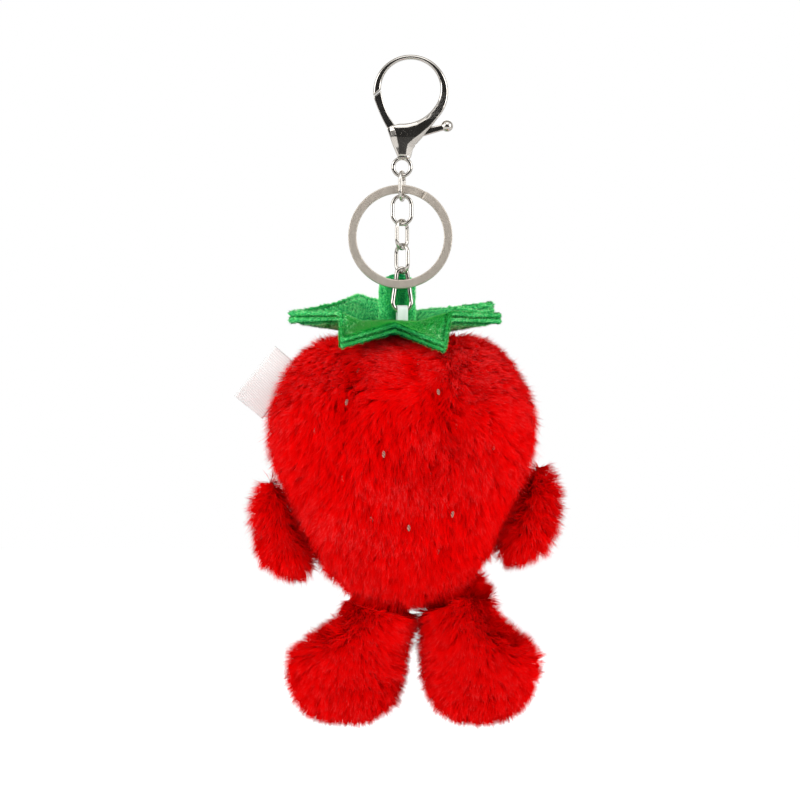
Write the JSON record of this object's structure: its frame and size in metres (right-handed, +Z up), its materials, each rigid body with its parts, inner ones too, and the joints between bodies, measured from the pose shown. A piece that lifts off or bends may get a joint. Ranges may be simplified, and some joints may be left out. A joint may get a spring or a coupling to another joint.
{
  "type": "plush keychain",
  "caption": "Long-pile plush strawberry with arms, legs, leafy velvet cap and stem, hung by a ribbon loop and chain from a split ring and lobster clasp.",
  "frame": {"origin": "inner crown of the clasp's hook, where it hangs, straight above the chain", "axes": "+Z up along the hanging chain; -Y is the front, towards the person who faces it; +X to that person's right"},
  "size_m": [0.0934, 0.0574, 0.1909],
  "materials": {
    "nickel_metal": "bright nickel plate",
    "satin_ring_metal": "satin flat spring wire",
    "pale_ribbon": "narrow satin ribbon",
    "green_velvet": "short-pile velvet",
    "red_plush": "long combed pile",
    "polyester_stuffing": "loose fibre",
    "white_label": "smooth woven tape",
    "seed_thread": "matt thread"
  },
  "bodies": {
    "clasp": {"clasp_body": "nickel_metal", "clasp_rivet": "nickel_metal", "clasp_spring": "nickel_metal"},
    "gate": {"clasp_gate": "nickel_metal"},
    "link_1": {"chain_link_1": "nickel_metal"},
    "key_ring": {"split_ring": "satin_ring_metal"},
    "link_2": {"chain_link_2": "nickel_metal"},
    "link_3": {"chain_link_3": "nickel_metal"},
    "link_4": {"chain_link_4": "nickel_metal"},
    "connector": {"connector_ring": "nickel_metal"},
    "strawberry": {"hanging_ribbon": "pale_ribbon", "leaf_cap_top": "green_velvet", "leaf_cap_lining": "green_velvet", "stem_velvet": "green_velvet", "stem_stuffing": "polyester_stuffing", "fruit_front_panel": "red_plush", "fruit_back_panel": "red_plush", "fruit_stuffing": "polyester_stuffing", "care_label": "white_label", "seed_stitches": "seed_thread"},
    "left_arm": {"left_arm_front_panel": "red_plush", "left_arm_back_panel": "red_plush", "left_arm_stuffing": "polyester_stuffing"},
    "left_leg": {"left_leg_front_panel": "red_plush", "left_leg_back_panel": "red_plush", "left_leg_stuffing": "polyester_stuffing"},
    "right_arm": {"right_arm_front_panel": "red_plush", "right_arm_back_panel": "red_plush", "right_arm_stuffing": "polyester_stuffing"},
    "right_leg": {"right_leg_front_panel": "red_plush", "right_leg_back_panel": "red_plush", "right_leg_stuffing": "polyester_stuffing"}
  },
  "joints": [
    {"name": "gate_open", "type": "hinge", "parent": "clasp", "child": "gate", "pos_m": [0.0006, 0, -0.0214], "axis": [0, 1, 0], "range_deg": [0, 22], "stiffness_Nm_per_rad": 0.004, "springref_deg": -20.05},
    {"name": "link_1_swing", "type": "hinge", "parent": "clasp", "child": "link_1", "pos_m": [0, 0, -0.0332], "axis": [1, 0, 0], "range_deg": [-60, 60]},
    {"name": "key_ring_swing", "type": "hinge", "parent": "link_1", "child": "key_ring", "pos_m": [-0.0005, 0, -0.03705], "axis": [1, 0, 0], "range_deg": [-65, 0]},
    {"name": "link_2_swing", "type": "hinge", "parent": "link_1", "child": "link_2", "pos_m": [0, 0, -0.04015], "axis": [0.2079, 0.9781, 0], "range_deg": [-8, 8]},
    {"name": "link_3_swing", "type": "hinge", "parent": "link_2", "child": "link_3", "pos_m": [0, 0, -0.04715], "axis": [1, 0, 0], "range_deg": [-2, 12]},
    {"name": "link_4_swing", "type": "hinge", "parent": "link_3", "child": "link_4", "pos_m": [0, 0, -0.05415], "axis": [0.5446, 0.8387, 0], "range_deg": [-5, 12]},
    {"name": "connector_swing", "type": "hinge", "parent": "link_4", "child": "connector", "pos_m": [0, 0, -0.06115], "axis": [0.6157, -0.788, 0], "range_deg": [-8, 12]},
    {"name": "strawberry_swing", "type": "hinge", "parent": "connector", "child": "strawberry", "pos_m": [0, 0, -0.07233], "axis": [0.9848, 0.1736, 0], "range_deg": [-30, 3]},
    {"name": "left_arm_lift", "type": "hinge", "parent": "strawberry", "child": "left_arm", "pos_m": [-0.0368, 0, -0.121], "axis": [0, 1, 0], "range_deg": [0, 45]},
    {"name": "right_arm_lift", "type": "hinge", "parent": "strawberry", "child": "right_arm", "pos_m": [0.0386, 0, -0.117], "axis": [0, -1, 0], "range_deg": [0, 45]},
    {"name": "left_leg_kick", "type": "hinge", "parent": "strawberry", "child": "left_leg", "pos_m": [-0.0066, 0, -0.16], "axis": [1, 0, 0], "range_deg": [-10, 10]},
    {"name": "right_leg_kick", "type": "hinge", "parent": "strawberry", "child": "right_leg", "pos_m": [0.0158, 0, -0.16], "axis": [1, 0, 0], "range_deg": [-10, 10]}
  ]
}
